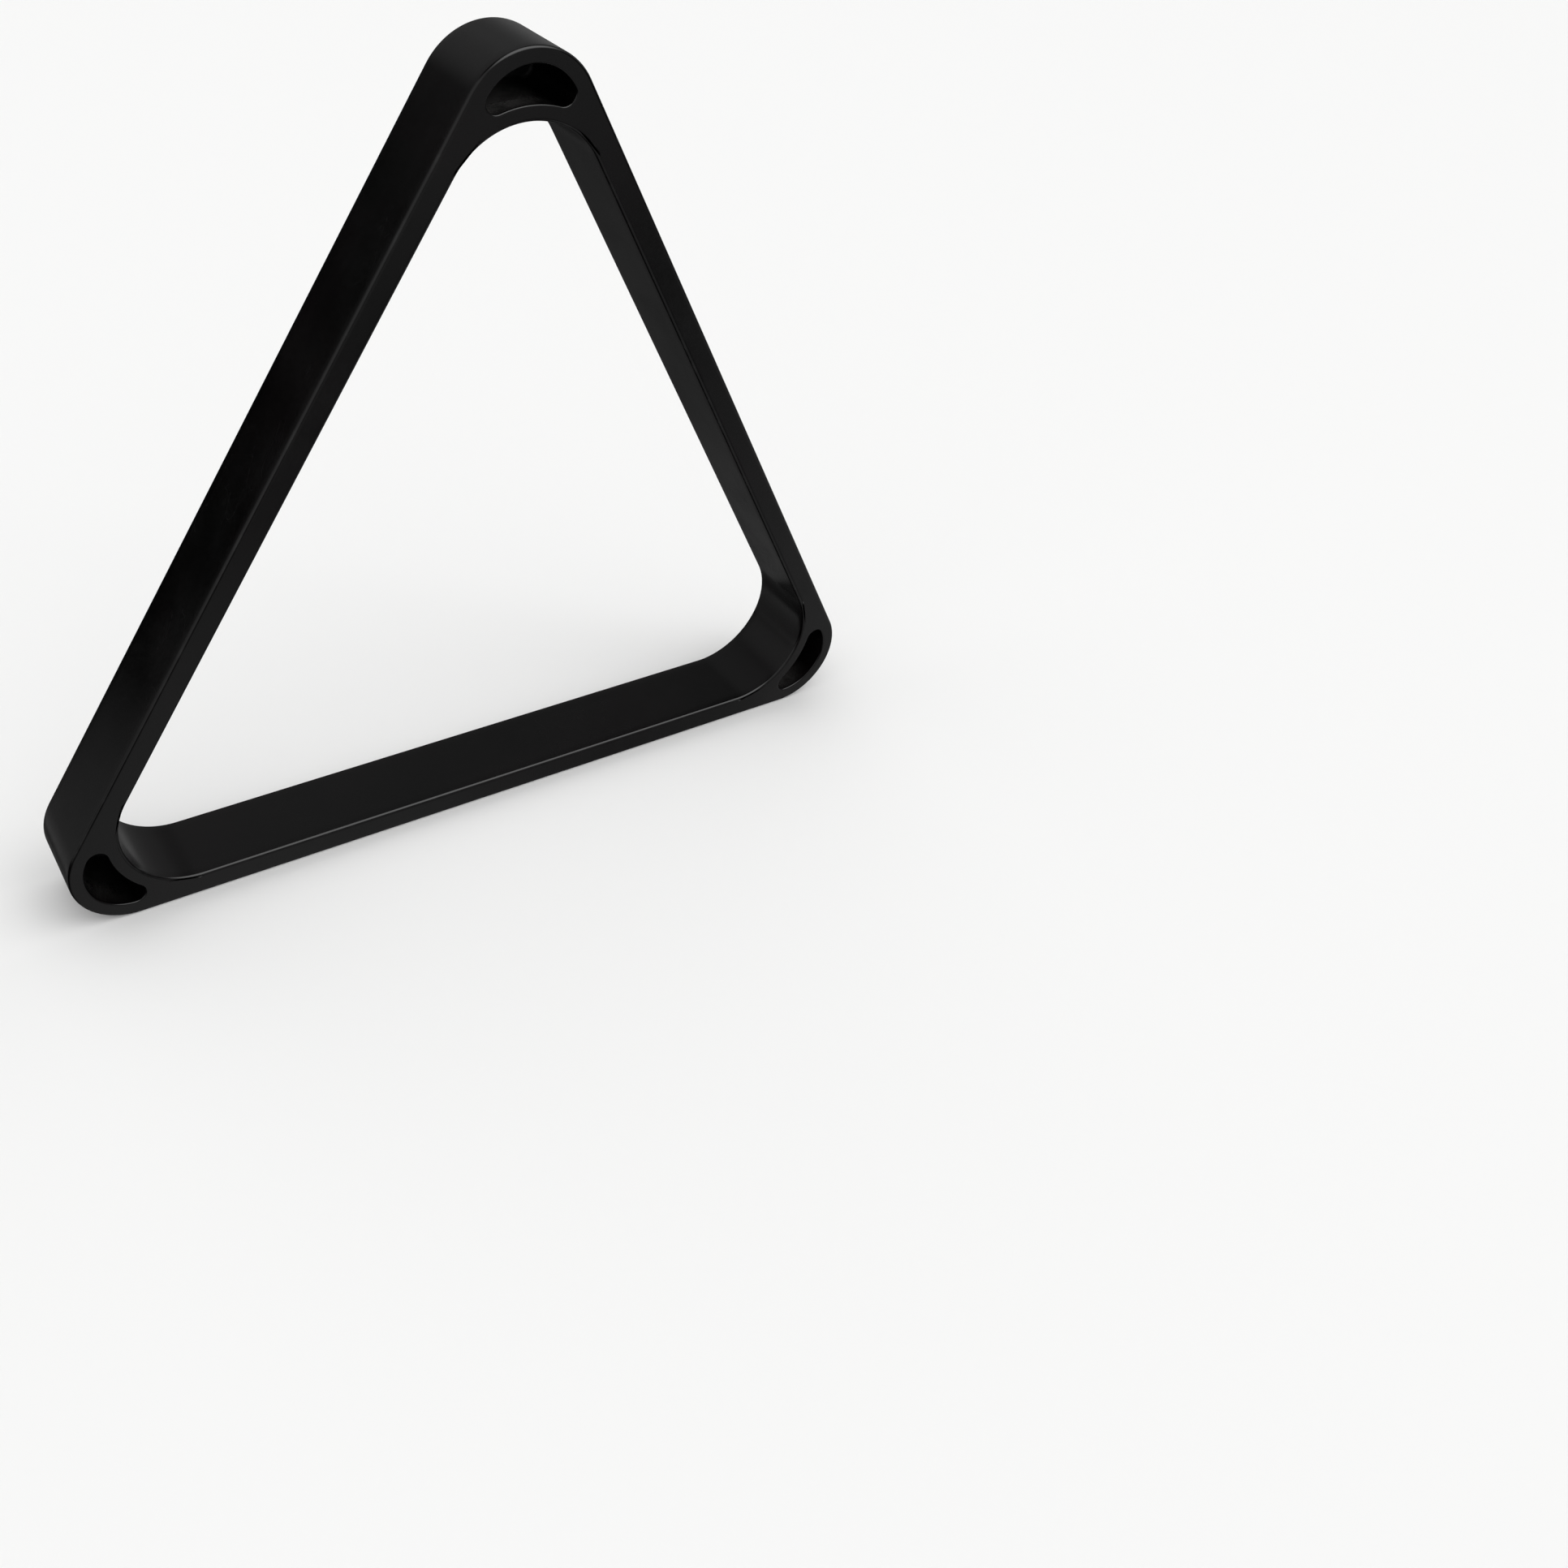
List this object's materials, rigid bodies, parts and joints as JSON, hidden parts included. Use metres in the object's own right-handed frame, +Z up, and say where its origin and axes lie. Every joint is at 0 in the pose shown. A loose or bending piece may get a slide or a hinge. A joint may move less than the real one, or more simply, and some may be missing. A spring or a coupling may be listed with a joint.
{
  "type": "triangle rack",
  "caption": "Rigid moulded triangle frame that gathers pool balls into a tight rack; open through the middle, with a crescent pocket in each thick corner.",
  "frame": {"origin": "middle of the base bar's underside, where the rack stands when it is stood on that bar", "axes": "+X along the base bar to the right, +Y through the frame from its pocketed front face to its plain back face, +Z up to the apex"},
  "size_m": [0.3262, 0.03, 0.2889],
  "materials": {
    "black_plastic": "satin black moulded plastic with a faint fine grain, a little smoother and lighter along its rounded edges"
  },
  "bodies": {
    "root": {"rack_frame": "black_plastic"}
  },
  "joints": []
}
